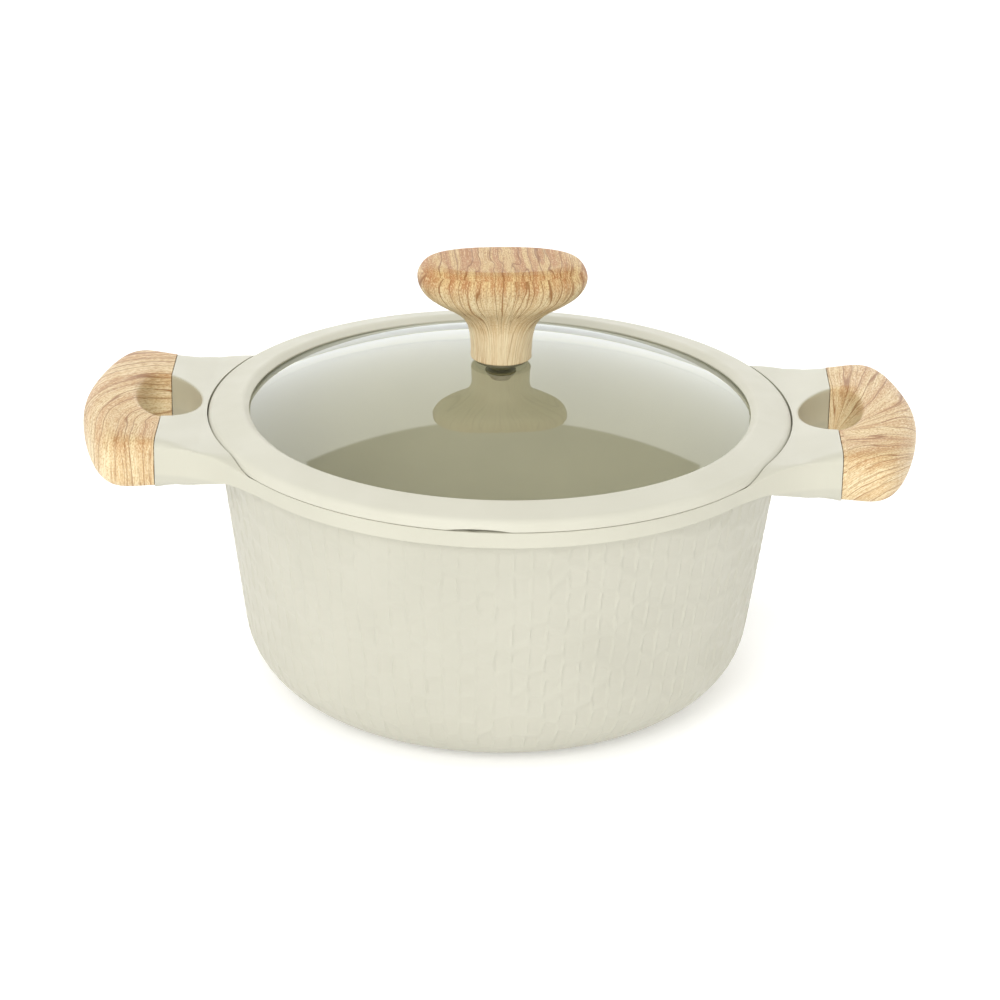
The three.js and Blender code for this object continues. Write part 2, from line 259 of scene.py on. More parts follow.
def cut(thing, *cutters):
    """Takes the cutters' shapes away from the object."""
    for cutter in cutters:
        boolean = thing.modifiers.new("cut", "BOOLEAN")
        boolean.operation = "DIFFERENCE"
        boolean.solver = "EXACT"
        boolean.object = cutter
        applied(thing)
        bpy.data.objects.remove(cutter)
    return thing


def joined(thing, *others):
    """Adds the other objects' meshes to the first object, as loose parts of it."""
    work = bmesh.new()
    for part in (thing, *others):
        work.from_mesh(part.data)
    work.to_mesh(thing.data)
    work.free()
    for other in others:
        bpy.data.objects.remove(other)
    return thing


def remeshed(thing, voxel, smoothing):
    """Fuses the object's parts into one skin and rounds its edges."""
    remesh = thing.modifiers.new("skin", "REMESH")
    remesh.mode = "VOXEL"
    remesh.voxel_size = voxel * MM
    applied(thing)
    return smoothed(thing, smoothing)


def smoothed(thing, repeats):
    """Evens out the object's skin, a little more with each repeat."""
    smooth = thing.modifiers.new("smooth", "SMOOTH")
    smooth.factor = 0.5
    smooth.iterations = repeats
    return applied(thing)


def points_of(thing):
    """The object's vertices in millimetres."""
    flat = np.empty(len(thing.data.vertices) * 3)
    thing.data.vertices.foreach_get("co", flat)
    return flat.reshape(-1, 3) / MM


def set_points(thing, points):
    """Moves the object's vertices to these places, in millimetres."""
    thing.data.vertices.foreach_set("co", (points * MM).ravel())
    thing.data.update()


def finished(thing, name, material, body, crease=40):
    """Names a piece, gives it its material and lets it stand for the CAD node of that name."""
    thing.name = f"{name}_skin"
    thing.data.name = name
    thing.data.materials.clear()
    thing.data.materials.append(material)
    thing.data.shade_smooth()
    thing.data.set_sharp_from_angle(angle=math.radians(crease))
    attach(thing, body)
    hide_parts(name)
    return thing


def smoothstep(value, low, high):
    """Goes smoothly from 0 to 1 as the value goes from low to high."""
    share = np.clip((value - low) / (high - low), 0, 1)
    return share * share * (3 - 2 * share)


def soft_min(first, second, softness):
    """The smaller value, with a rounded change over between the two."""
    spread = np.clip(0.5 + 0.5 * (second - first) / softness, 0, 1)
    return second + (first - second) * spread - softness * spread * (1 - spread)


def soft_max(first, second, softness):
    """The larger value, with a rounded change over between the two."""
    return -soft_min(-first, -second, softness)


# Materials


class Look:
    """A material whose nodes are put together by short calls."""

    def __init__(self, name):
        self.material = bpy.data.materials.new(name)
        self.material.use_nodes = True
        self.tree = self.material.node_tree
        self.shader = self.tree.nodes["Principled BSDF"]

    def node(self, kind, inputs=(), **settings):
        made = self.tree.nodes.new(f"ShaderNode{kind}")
        for key, value in settings.items():
            setattr(made, key, value)
        for socket, value in dict(inputs).items():
            self.set(made.inputs[socket], value)
        return made

    def set(self, socket, value):
        if isinstance(value, bpy.types.NodeSocket):
            self.tree.links.new(value, socket)
        elif isinstance(value, tuple) and len(value) == 3 and socket.type == "RGBA":
            socket.default_value = (*value, 1)
        else:
            socket.default_value = value

    def place(self):
        """Where the point lies on the piece itself, in metres."""
        return self.node("TexCoord").outputs["Object"]

    def math(self, operation, first, second=0.0, third=0.0):
        made = self.node("Math", operation=operation)
        for socket, value in zip(made.inputs, (first, second, third)):
            self.set(socket, value)
        return made.outputs[0]

    def stretched(self, vector, scale):
        """The vector with each part multiplied by its own factor."""
        return self.node("VectorMath", {0: vector, 1: scale}, operation="MULTIPLY").outputs[0]

    def noise(self, vector, scale, detail=2.0, roughness=0.5, distortion=0.0):
        sockets = {"Vector": vector, "Scale": scale, "Detail": detail}
        sockets |= {"Roughness": roughness, "Distortion": distortion}
        return self.node("TexNoise", sockets).outputs[0]

    def band(self, value, low, high, first=0.0, last=1.0):
        """Goes smoothly from first to last as the value goes from low to high."""
        sockets = {"Value": value, "From Min": low, "From Max": high, "To Min": first, "To Max": last}
        return self.node("MapRange", sockets, interpolation_type="SMOOTHSTEP").outputs[0]

    def mix(self, factor, first, second, blend="MIX"):
        made = self.node("Mix", data_type="RGBA", blend_type=blend)
        self.set(made.inputs[0], factor)
        self.set(made.inputs[6], first)
        self.set(made.inputs[7], second)
        return made.outputs[2]

    def bump(self, height, strength, distance):
        """Adds a relief of the given depth in millimetres to the shader."""
        sockets = {"Height": height, "Strength": strength, "Distance": distance * MM}
        made = self.node("Bump", sockets)
        self.set(self.shader.inputs["Normal"], made.outputs[0])

    def finish(self, **sockets):
        for name, value in sockets.items():
            self.set(self.shader.inputs[name.replace("_", " ")], value)
        return self.material


def coating():
    """Satin ceramic-type coating: a warm cream with faint mottling and a fine orange-peel skin.

    Its tone carries painted shade below the band, over the hammered wall, and on the walls of the finger
    openings.
    """
    look = Look("cream_coating")
    place = look.place()
    cloud = look.noise(place, 22.0, 3.0)
    tone = look.mix(look.band(cloud, 0.3, 0.7), CREAM_LOW, CREAM_HIGH)
    fleck = look.band(look.noise(place, 900.0, 1.0), 0.70, 0.76)
    tone = look.mix(look.math("MULTIPLY", fleck, 0.12), tone, FLECK)
    x, y, height = look.node("SeparateXYZ", {0: place}).outputs
    # Painted shade on all that lies below the band's foot
    below_band = look.band(height, (BAND_FOOT - 1.5) * MM, (BAND_FOOT + 0.5) * MM, 1.0, 0.0)
    tone = look.mix(below_band, tone, PAINTED_WALL_SHADE, "MULTIPLY")
    # Painted shade on the walls of the finger openings
    centre, half_length, half_width = (size * MM for size in FINGER_HOLE)
    hole_x = look.math("DIVIDE", look.math("SUBTRACT", look.math("ABSOLUTE", x), centre), half_length)
    hole_y = look.math("DIVIDE", y, half_width)
    squares = look.math("MULTIPLY_ADD", hole_x, hole_x, look.math("MULTIPLY", hole_y, hole_y))
    tone = look.mix(look.band(squares, 1.12, 1.02), tone, HOLE_SHADE, "MULTIPLY")
    look.bump(look.noise(place, 1500.0, 2.0), 0.25, 0.05)
    gloss = look.band(look.noise(place, 60.0, 4.0), 0.3, 0.7, 0.38, 0.48)
    return look.finish(Base_Color=tone, Roughness=gloss, Specular_IOR_Level=0.45)


def soft_silicone(name, low, high):
    """Matt silicone with the faint cloudiness and powdery skin of a moulded part."""
    look = Look(name)
    place = look.place()
    cloud = look.noise(place, 30.0, 3.0)
    tone = look.mix(look.band(cloud, 0.3, 0.7), low, high)
    look.bump(look.noise(place, 2200.0, 2.0), 0.15, 0.03)
    gloss = look.band(look.noise(place, 90.0, 3.0), 0.3, 0.7, 0.5, 0.62)
    return look.finish(Base_Color=tone, Roughness=gloss, Specular_IOR_Level=0.35)


def wavy_lines(look, across, closeness, waver, edge):
    """1 along thin lines set side by side, this many in a millimetre, and 0 between them."""
    place = look.math("MULTIPLY_ADD", across, closeness, waver)
    return look.band(look.math("PINGPONG", place, 0.5), edge, 0.5)


def wood_print():
    """Wood-effect print: veins that follow the stored grain, fine streaks and short speckled dashes.

    The grain's third part is 1 on an upper face, 0 on a side and -1 where the print is palest; it also sets
    the painted shade on upper faces.
    """
    look = Look("wood_effect")
    flow = look.node("Attribute", attribute_name="grain").outputs["Vector"]
    drift = look.noise(look.place(), 28.0, 3.0)
    across, along, face = look.node("SeparateXYZ", {0: flow}).outputs
    across = look.math("MULTIPLY_ADD", drift, 5.0, across)
    grain = look.node("CombineXYZ", {0: across, 1: along}).outputs[0]

    figure = look.noise(look.stretched(grain, (0.10, 0.012, 1)), 1.0, 2.0, 0.5)
    broad = look.noise(look.stretched(grain, (0.22, 0.016, 1)), 1.0, 2.0, 0.55)
    vein = wavy_lines(look, across, 0.20, look.math("MULTIPLY", figure, 4.0), 0.40)
    fine_vein = wavy_lines(look, across, 0.50, look.math("MULTIPLY", broad, 5.0), 0.36)
    fine_vein = look.math("MULTIPLY", fine_vein, look.band(figure, 0.42, 0.58, 0.1, 0.75))
    vein = look.math("MAXIMUM", vein, fine_vein)
    vein = look.math("MULTIPLY", vein, look.band(face, -1.0, 0.0, 0.5, 0.9))
    streak = look.noise(look.stretched(grain, (2.0, 0.16, 1)), 1.0, 2.0, 0.6)
    dash = look.noise(look.stretched(grain, (1.9, 0.9, 1)), 1.0, 2.0, 0.6)

    tone = look.mix(look.band(broad, 0.36, 0.64), WOOD_PALE, WOOD_TAN)
    tone = look.mix(look.band(face, 0.0, -1.0, 0.0, 0.3), tone, WOOD_CREAM)
    blush = look.math("MULTIPLY", look.band(face, 0.0, 1.0), look.band(broad, 0.38, 0.62, 0.25, 1.1))
    tone = look.mix(blush, tone, WOOD_ROSE)
    tone = look.mix(look.band(streak, 0.52, 0.68, 0.0, 0.45), tone, WOOD_BROWN)
    tone = look.mix(look.band(streak, 0.48, 0.32, 0.0, 0.5), tone, WOOD_CREAM)
    speckle = look.band(face, -1.0, 0.8, 0.1, 1.0)
    dark_dash = look.math("MULTIPLY", look.band(dash, 0.53, 0.61), speckle)
    pale_dash = look.math("MULTIPLY", look.band(dash, 0.47, 0.39), speckle)
    tone = look.mix(look.math("MULTIPLY", dark_dash, 0.7), tone, WOOD_BROWN)
    tone = look.mix(look.math("MULTIPLY", pale_dash, 0.5), tone, WOOD_CREAM)
    tone = look.mix(vein, tone, WOOD_VEIN)
    # Painted shade that darkens and browns the upper faces
    tone = look.mix(look.band(face, 0.0, 1.0), tone, WOOD_TOP_PAINTED_SHADE, "MULTIPLY")

    look.bump(look.math("SUBTRACT", streak, look.math("MULTIPLY", vein, 0.4)), 0.25, 0.06)
    gloss = look.band(streak, 0.3, 0.7, 0.42, 0.56)
    return look.finish(Base_Color=tone, Roughness=gloss, Specular_IOR_Level=0.4)


def clear_glass():
    """Tempered glass: mirror reflections over a faintly green see-through body, with a few smears."""
    look = Look("lid_glass")
    nodes = look.tree.nodes
    nodes.remove(look.shader)
    place = look.place()
    smear = look.band(look.noise(place, 18.0, 4.0), 0.45, 0.8, 0.008, 0.03)
    clear = look.node("BsdfTransparent", {"Color": GLASS_TINT})
    mirror = look.node("BsdfGlossy", {"Color": (0.97, 1.0, 0.99), "Roughness": smear})
    # Schlick's law for the share of light that a face of glass mirrors
    head_on = 0.09  # for both faces together
    facing = look.node("LayerWeight", {"Blend": 0.5}).outputs["Facing"]
    shine = look.math("MULTIPLY_ADD", look.math("POWER", facing, 5.0), 1 - head_on, head_on)
    # The face met first mirrors for both faces, as in a thin pane
    first_face = look.math("SUBTRACT", 1.0, look.node("NewGeometry").outputs["Backfacing"])
    shine = look.math("MULTIPLY", shine, first_face)
    both = look.node("MixShader", {0: shine, 1: clear.outputs[0], 2: mirror.outputs[0]})
    look.set(nodes["Material Output"].inputs["Surface"], both.outputs[0])
    return look.material


def turned_metal(name, colour, roughness):
    """Metal with fine circular tool marks and a slightly uneven shine."""
    look = Look(name)
    place = look.place()
    marks = look.noise(look.stretched(place, (1, 1, 6)), 2600.0, 2.0)
    cloud = look.noise(place, 120.0, 3.0)
    tone = look.mix(look.band(cloud, 0.3, 0.7), colour, tuple(part * 0.82 for part in colour))
    look.bump(marks, 0.2, 0.02)
    gloss = look.band(marks, 0.3, 0.7, roughness, roughness + 0.12)
    return look.finish(Base_Color=tone, Roughness=gloss, Metallic=1.0)


def brushed_plate():
    """Stainless disc with rings left by turning."""
    look = Look("plate_steel")
    place = look.place()
    x, y, _ = look.node("SeparateXYZ", {0: place}).outputs
    radius = look.math("SQRT", look.math("MULTIPLY_ADD", x, x, look.math("MULTIPLY", y, y)))
    line = look.node("CombineXYZ", {0: radius}).outputs[0]
    rings = look.noise(line, 2400.0, 3.0, 0.7)
    cloud = look.noise(place, 45.0, 3.0)
    tone = look.mix(look.band(cloud, 0.3, 0.7), (0.56, 0.56, 0.55), (0.66, 0.66, 0.65))
    look.bump(rings, 0.35, 0.03)
    gloss = look.band(rings, 0.3, 0.7, 0.26, 0.4)
    return look.finish(Base_Color=tone, Roughness=gloss, Metallic=1.0)


def floor_paint():
    """Matt white that glows a little, so that the floor stays pale under the pot."""
    look = Look("floor")
    cloud = look.noise(look.place(), 2.0, 2.0)
    tone = look.mix(cloud, (0.90, 0.90, 0.89), (0.93, 0.93, 0.93))
    look.set(look.shader.inputs["Emission Color"], (1.0, 1.0, 1.0))
    return look.finish(Base_Color=tone, Roughness=0.9, Specular_IOR_Level=0.0, Emission_Strength=FLOOR_GLOW)


CREAM = coating()
SEAL_SILICONE = soft_silicone("lid_silicone", SEAL_LOW, SEAL_HIGH)
DARK_SILICONE = soft_silicone("dark_silicone", DARK_LOW, DARK_HIGH)
WOOD = wood_print()
GLASS = clear_glass()
STEEL = turned_metal("fastener_steel", (0.60, 0.60, 0.59), 0.25)
BRASS = turned_metal("insert_brass", (0.72, 0.52, 0.24), 0.28)
PLATE = brushed_plate()


# The pot


def wall_line(radius_at_zero, floor_height, fillet):
    """A leaning wall's (radius, height) points where it curves down into a flat floor."""
    lean = math.atan(WALL_LEAN)
    centre_height = floor_height + fillet
    centre = radius_at_zero + WALL_LEAN * centre_height - fillet / math.cos(lean)
    angle = np.linspace(-math.pi / 2, -lean, 40)
    return np.stack((centre + fillet * np.cos(angle), centre_height + fillet * np.sin(angle)), 1)


def hammer_marks(around, down):
    """Depth from 0 to 1 of flat marks beaten in upright columns, with sharp ridges left between them.

    Each point takes the depth of the nearest mark, and rises to a ridge where two are as near.
    """
    rows = 16
    slimness = 2.2  # makes the marks taller than they are wide
    dice = np.random.default_rng(7)
    phase = dice.uniform(0, 1, MARK_COLUMNS)
    sideways = dice.uniform(-0.12, 0.12, (MARK_COLUMNS, rows))
    upwards = dice.uniform(-0.2, 0.2, (MARK_COLUMNS, rows))
    strength = dice.uniform(0.45, 1.0, (MARK_COLUMNS, rows))
    nearest = np.full(around.shape, np.inf)
    second = nearest.copy()
    depth = np.zeros(around.shape)
    for column_step in (-1, 0, 1):
        column = np.floor(around).astype(int) + column_step
        wrapped = column % MARK_COLUMNS
        shifted = down - phase[wrapped]
        for row_step in (-1, 0, 1):
            row = np.floor(shifted).astype(int) + row_step
            cell = (wrapped, row % rows)
            to_side = around - (column + 0.5 + sideways[cell])
            to_end = shifted - (row + 0.5 + upwards[cell])
            distance = slimness * to_side**2 + to_end**2
            closer = distance < nearest
            second = np.where(closer, nearest, np.minimum(second, distance))
            depth = np.where(closer, strength[cell], depth)
            nearest = np.where(closer, distance, nearest)
    return depth * smoothstep(second - nearest, -0.1, 0.6)


def pot_outside():
    """The leaning wall with its hammered relief, and the base with the recess for the plate."""
    outer_at_zero = MOUTH_RADIUS + WALL_THICKNESS - WALL_LEAN * BAND_FOOT
    recess = PLATE_RADIUS + GAP
    roof = PLATE_TOP + GAP
    edge = 0.5
    hidden = 2.0  # the wall goes on up inside the rim band
    spacing = 1.1
    steps = 12 * MARK_COLUMNS
    mark_height = 11.8
    line = np.vstack(
        (
            [(0, roof), (recess, roof), (recess, edge), (recess + edge, 0)],
            wall_line(outer_at_zero, 0, BASE_FILLET),
            [(outer_at_zero + WALL_LEAN * (BAND_FOOT + hidden), BAND_FOOT + hidden)],
        )
    )
    line = resampled(line, spacing)
    travelled = np.append(0, np.cumsum(np.linalg.norm(np.diff(line, axis=0), axis=1)))
    around = np.broadcast_to(np.arange(steps) * MARK_COLUMNS / steps, (len(line), steps))
    down = np.broadcast_to((travelled / mark_height)[:, None], around.shape)
    height = line[:, 1]
    # The marks die out at the foot and just under the band
    fade = smoothstep(height, 4, 16) * smoothstep(height, BAND_FOOT - 0.5, BAND_FOOT - 3.5)
    depth = HAMMER_DEPTH * fade[:, None] * hammer_marks(around, down)
    points = turned_points(line, steps)
    tangent = np.gradient(line, axis=0)
    tangent /= np.linalg.norm(tangent, axis=1)[:, None]
    outwards = np.stack((tangent[:, 1], -tangent[:, 0]), 1)
    direction = turned_points(outwards, steps)
    points -= depth[:, :, None] * direction
    faces = grid_faces(len(line), steps, closed_columns=True)
    return solid("pot_outside", points.reshape(-1, 3), faces)


def pot_inside():
    """The smooth inside wall and floor. Its top end is buried in the rim band."""
    inner_at_zero = MOUTH_RADIUS - WALL_LEAN * RIM
    buried = 3.0
    top = RIM - buried
    line = np.vstack(
        (
            [(0, FLOOR)],
            wall_line(inner_at_zero, FLOOR, BASE_FILLET - WALL_THICKNESS),
            [(MOUTH_RADIUS - WALL_LEAN * buried, top), (MOUTH_RADIUS + 1.5, top + 0.3)],
        )
    )
    thing = turned("pot_inside", line, 256, closed=False)
    thing.data.flip_normals()
    return thing


def ear_outline():
    """Outline of the rim with both ears and their finger openings, seen from above."""
    past_joint = 5.0  # cut off square later
    joint = np.array((JOINT_REACH, HANDLE_HALF_WIDTH))
    bend_point = np.array((122.5, HANDLE_HALF_WIDTH))
    root = np.array((101.0, 78.3))  # where the ear runs into the rim
    share = np.linspace(0, 1, 16)[:, None]
    curve = (1 - share) ** 2 * joint + 2 * share * (1 - share) * bend_point + share**2 * root
    centre, half_length, half_width = FINGER_HOLE
    angle = np.linspace(math.acos((JOINT_REACH + past_joint - centre) / half_length), math.pi, 24)
    hole = np.stack((centre + half_length * np.cos(angle), half_width * np.sin(angle)), 1)
    bend = np.linspace(math.atan2(root[1], root[0]), math.pi / 2, 60)[1:]
    rim = BAND_RADIUS * np.stack((np.cos(bend), np.sin(bend)), 1)
    tip = [(JOINT_REACH + past_joint, HANDLE_HALF_WIDTH)]
    quarter = np.vstack((hole[::-1], tip, curve, rim))
    half = np.vstack((quarter, (quarter * (-1, 1))[::-1][1:]))
    return np.vstack((half, (half * (1, -1))[::-1][1:-1]))


def ear_top(x, y):
    """Height of the casting's top: flat at the rim, rising along the ears, falling at their flanks."""
    seat = SEAL_RADIUS + GAP
    seat_top = RIM + 4.6
    joint_top = JOINT_HEIGHT + JOINT_HALF_DEPTH
    slope = (joint_top - seat_top) / (JOINT_REACH - seat)
    rise = seat_top + slope * np.clip(abs(x) - seat, 0, None)
    flank = joint_top - RIM + 0.5
    flank_start, flank_end = 47.5, 80
    fall = RIM + flank * (1 - smoothstep(abs(y), flank_start, flank_end)) ** 1.3
    return soft_max(soft_min(rise, fall, 1.5), np.full(x.shape, RIM - 0.05), 1.0)


def prong_crown(x, y):
    """How far the ear's height shrinks towards a prong's outer side, to meet the grip's section."""
    middle = (HANDLE_HALF_WIDTH + FINGER_HALF_WIDTH) / 2
    half_width = (HANDLE_HALF_WIDTH - FINGER_HALF_WIDTH) / 2
    share = 0.96  # keeps the outermost side from closing to an edge
    across = share * np.clip((abs(y) - middle) / half_width, 0, 1)
    crown = (1 - across ** (2 / JOINT_SQUARENESS)) ** (JOINT_SQUARENESS / 2)
    return 1 - (1 - crown) * smoothstep(abs(x), 130, 145)


def ear_foot(x):
    """Height of the casting's underside: the band's foot, dropping along the ears."""
    start = 116
    drop = 7.4
    share = np.clip((abs(x) - start) / (JOINT_REACH - start), 0, 1)
    return BAND_FOOT - drop * share**0.8


def rim_and_ears():
    """The rim band and the two ears as one casting with rounded edges."""
    flat_half = 10.0  # half the height of the plain slab, which is then drawn to the real heights
    voxel = 0.8
    outline = bpy.data.curves.new("outline", "CURVE")
    outline.dimensions = "2D"
    outline.fill_mode = "BOTH"
    outline.extrude = flat_half * MM
    angle = np.arange(360) * math.tau / 360
    mouth = MOUTH_RADIUS * np.stack((np.cos(angle), np.sin(angle)), 1)
    for points in (ear_outline(), mouth):
        spline = outline.splines.new("POLY")
        spline.points.add(len(points) - 1)
        flat = np.column_stack((points * MM, np.zeros(len(points)), np.ones(len(points))))
        spline.points.foreach_set("co", flat.ravel())
        spline.use_cyclic_u = True
    source = linked("outline", outline)
    bpy.context.view_layer.update()
    mesh = bpy.data.meshes.new_from_object(source.evaluated_get(bpy.context.evaluated_depsgraph_get()))
    bpy.data.objects.remove(source)
    thing = linked("rim_and_ears", mesh)
    thing = remeshed(thing, voxel, 0)
    points = points_of(thing)
    top = ear_top(points[:, 0], points[:, 1])
    foot = ear_foot(points[:, 0])
    share = np.clip(points[:, 2] / flat_half, -1, 1) * prong_crown(points[:, 0], points[:, 1])
    points[:, 2] = (top + foot) / 2 + share * (top - foot) / 2
    set_points(thing, points)
    smoothed(thing, 4)
    seat = post(SEAL_RADIUS + GAP, RIM, RIM + 30, steps=512)
    # The ears end square at the joints
    beyond = [
        block((JOINT_REACH, -90, 90), (JOINT_REACH + 40, 90, 140)),
        block((-JOINT_REACH - 40, -90, 90), (-JOINT_REACH, 90, 140)),
    ]
    return cut(thing, seat, *beyond)


def tang(side_x, side_y):
    """The tongue that a grip slides onto."""
    length, width, height = TANG
    near, far = sorted((side_x * (JOINT_REACH - 2), side_x * (JOINT_REACH + length)))
    middle = side_y * SCREW_Y
    low = (near, middle - width / 2, JOINT_HEIGHT - height / 2)
    return block(low, (far, middle + width / 2, JOINT_HEIGHT + height / 2))


def pot():
    """The casting: rim and ears, wall and base, inside, and the four tongues."""
    tangs = [tang(side_x, side_y) for side_x in (-1, 1) for side_y in (-1, 1)]
    thing = joined(rim_and_ears(), pot_outside(), pot_inside(), *tangs)
    return finished(thing, "pot_body", CREAM, "pot")


def induction_plate():
    """A thin steel disc with a rounded edge and shallow turned rings."""
    edge = 0.25
    rings = 9
    profile = [(0, PLATE_TOP), (0, 0)]
    for ring in range(1, rings + 1):
        radius = (PLATE_RADIUS - 6) * ring / rings
        profile += [(radius - 0.7, 0), (radius, 0.18), (radius + 0.7, 0)]
    profile += [(PLATE_RADIUS - edge, 0), (PLATE_RADIUS, edge)]
    profile += [(PLATE_RADIUS, PLATE_TOP - edge), (PLATE_RADIUS - edge, PLATE_TOP)]
    thing = turned("plate", profile, 192)
    return finished(thing, "induction_plate", PLATE, "pot", crease=20)


# The grips


def signed_power(value, power):
    """A power that keeps the sign."""
    return np.sign(value) * np.abs(value) ** power


def grip_contour(angle, reach, half_width, power, bulge):
    """A grip's inner or outer contour from above, a rounded U from front to back."""
    start = JOINT_REACH + GAP
    swell = 1 + bulge * np.sin(2 * angle) ** 2
    x = start + (reach - start) * signed_power(np.cos(angle), power)
    return x, half_width * signed_power(np.sin(angle), power) * swell


def grip_bar():
    """A bar of rounded section bent between the two contours, with its ends carried past the joint."""
    rows, columns = 161, 96
    inner_reach = 158.5
    middle_lift = 1.2
    middle_swell = 2.9
    angle = np.linspace(-math.pi / 2, math.pi / 2, rows)[:, None]
    around = (np.arange(columns) * math.tau / columns)[None, :]
    # The outside is round in the middle and square at the joints. The inside is flat with firm edges.
    roundness = 0.9
    outer_power = roundness - (roundness - JOINT_SQUARENESS) * np.abs(np.sin(angle)) ** 3
    inner_power = 0.32 - 0.14 * np.abs(np.sin(angle))
    power = np.where(np.cos(around) < 0, inner_power, outer_power)
    across = signed_power(np.cos(around), power)
    up = signed_power(np.sin(around), power)
    outer_x, outer_y = grip_contour(angle, GRIP_HIGH[0], HANDLE_HALF_WIDTH, 1, 0.26)
    inner_x, inner_y = grip_contour(angle, inner_reach, FINGER_HALF_WIDTH, 0.8, 0)
    x = (outer_x + inner_x + across * (outer_x - inner_x)) / 2
    y = (outer_y + inner_y + across * (outer_y - inner_y)) / 2
    half_depth = JOINT_HALF_DEPTH + middle_swell * np.cos(angle)
    z = JOINT_HEIGHT + middle_lift * np.cos(angle) + up * half_depth
    points = np.stack((x, y, z), 2)
    past_joint = 4.0
    first, last = points[:1] - (past_joint, 0, 0), points[-1:] - (past_joint, 0, 0)
    points = np.concatenate((first, points, last))
    rows += 2
    faces = grid_faces(rows, columns, closed_columns=True).tolist()
    ends = [list(range(columns)), list(range((rows - 1) * columns, rows * columns))]
    return solid("grip", points.reshape(-1, 3), faces + ends)


def grip(name, turn):
    """A grip with a boss under each end, bored for its screw and hollowed for the tang."""
    boss_radius, head_bore, shank_bore = 7.2, 4.3, 2.3
    worn_off = 0.4  # what the smoothing takes from a boss's foot
    voxel = 0.6
    thing = grip_bar()
    under = JOINT_HEIGHT - TANG[2] / 2
    foot = GRIP_LOW[2] - worn_off
    bosses = [post(boss_radius, foot, under, SCREW_X, side * SCREW_Y) for side in (-1, 1)]
    thing = remeshed(joined(thing, *bosses), voxel, 3)
    seat = WASHER_HIGH[2] + GAP
    cutters = [block((0, -90, 80), (JOINT_REACH + GAP, 90, 150))]  # all that lies inside the joint
    for side in (-1, 1):
        length, width, height = (size + 2 * GAP for size in TANG)
        middle = side * SCREW_Y
        low = (JOINT_REACH - 1, middle - width / 2, JOINT_HEIGHT - height / 2)
        high = (JOINT_REACH + length, middle + width / 2, JOINT_HEIGHT + height / 2)
        cutters.append(block(low, high))
        cutters.append(post(head_bore, GRIP_LOW[2] - 5, seat, SCREW_X, middle, 48))
        cutters.append(post(shank_bore, GRIP_LOW[2] - 5, under + 1, SCREW_X, middle, 32))
    cut(thing, *cutters)
    thing.data.transform(Matrix.Rotation(turn, 4, "Z"))
    points = points_of(thing)
    store_grain(thing.data, *(curled_grain(points) if turn else fanned_grain(points)))
    return finished(thing, name, WOOD, "pot")


def print_plane(points):
    """Flat coordinates of the print, which is laid on from the front and above."""
    slant = math.radians(25)
    return points[:, 0], points[:, 1] * math.sin(slant) + points[:, 2] * math.cos(slant)


def speckled_top(points):
    """Partly the print of an upper face on top of a grip, with its painted shade, down to 0 low on its
    sides.
    """
    full = 0.45
    return full * smoothstep(points[:, 2], 118, 129)


def curled_grain(points):
    """Left grip: lines that follow the bend at the back and run down the front."""
    x, up = print_plane(points)
    centre_x, centre_up = -147.5, 102.0  # of the bend, on the print
    width_to_height = 1.5
    bend_radius = 20
    closeness = 1.4
    sideways = (centre_x - x) / width_to_height
    upwards = np.clip(up - centre_up, 0, None)
    across = closeness * np.hypot(sideways, upwards)
    along = bend_radius * np.arctan2(upwards, sideways) - np.clip(centre_up - up, 0, None)
    return across, along, speckled_top(points)


def fanned_grain(points):
    """Right grip: lines that fan up and back from the finger opening, and lie level in front."""
    x, up = print_plane(points)
    centre_x, centre_up = 149.0, 106.0  # of the fan, on the print
    fan_radius = 26
    side, rise = x - centre_x, up - centre_up
    fan = fan_radius * np.arctan2(np.clip(rise, 0, None), side)
    level = np.clip(-rise, 0, None) * (1 + 0.02 * side) + 0.25 * side * smoothstep(-rise, 0, 14)
    along = np.hypot(side, np.clip(rise, 0, None))
    return fan - level, along, speckled_top(points)


def cross_slot(x, y, foot, depth, length):
    """Cutters for a cross recess that goes up into a screw head."""
    half = 0.5
    low, high = foot - depth, foot + depth
    reach = length / 2
    return (
        block((x - reach, y - half, low), (x + reach, y + half, high)),
        block((x - half, y - reach, low), (x + half, y + reach, high)),
    )


def screw(radius, head_radius, head_foot, head_height, tip, x=0.0, y=0.0):
    """A screw that points up, with a rounded head below and threads on its shank."""
    pitch = 1.0
    neck = head_foot + head_height
    outline = [(0, tip, 0), (radius - 0.6, tip, 0.2)]
    for turn in range(int((tip - neck - 1) / pitch)):
        height = tip - 0.6 - turn * pitch
        outline += [(radius - 0.35, height, 0), (radius, height - pitch / 2, 0)]
    outline += [(radius - 0.2, neck, 0), (head_radius, neck, 0.3)]
    outline += [(head_radius, head_foot, head_height * 0.4), (0, head_foot, 0)]
    thing = moved(turned("screw", filleted(outline), 64), x, y)
    return cut(thing, *cross_slot(x, y, head_foot, head_height / 2, head_radius * 1.1))


def washer(inner, outer, low, high, x=0.0, y=0.0, edge=0.2):
    """A flat ring with softened edges."""
    outline = [(inner, low, edge), (outer, low, edge), (outer, high, edge), (inner, high, edge)]
    return moved(turned("washer", filleted(outline), 96), x, y)


def grip_fasteners(side_x, side_name):
    """The front and back screws of one grip with their washers."""
    for side_y, end_name in ((-1, "front"), (1, "back")):
        x, y = side_x * SCREW_X, side_y * SCREW_Y
        head_radius = (SCREW_HIGH[0] - SCREW_LOW[0]) / 2
        made = screw(2.0, head_radius, SCREW_LOW[2], 2.2, SCREW_HIGH[2], x, y)
        finished(made, f"grip_screw_{side_name}_{end_name}", STEEL, "pot", 30)
        outer = (WASHER_HIGH[0] - WASHER_LOW[0]) / 2
        made = washer(2.3, outer, WASHER_LOW[2], WASHER_HIGH[2], x, y)
        finished(made, f"grip_washer_{side_name}_{end_name}", STEEL, "pot", 30)


# The lid


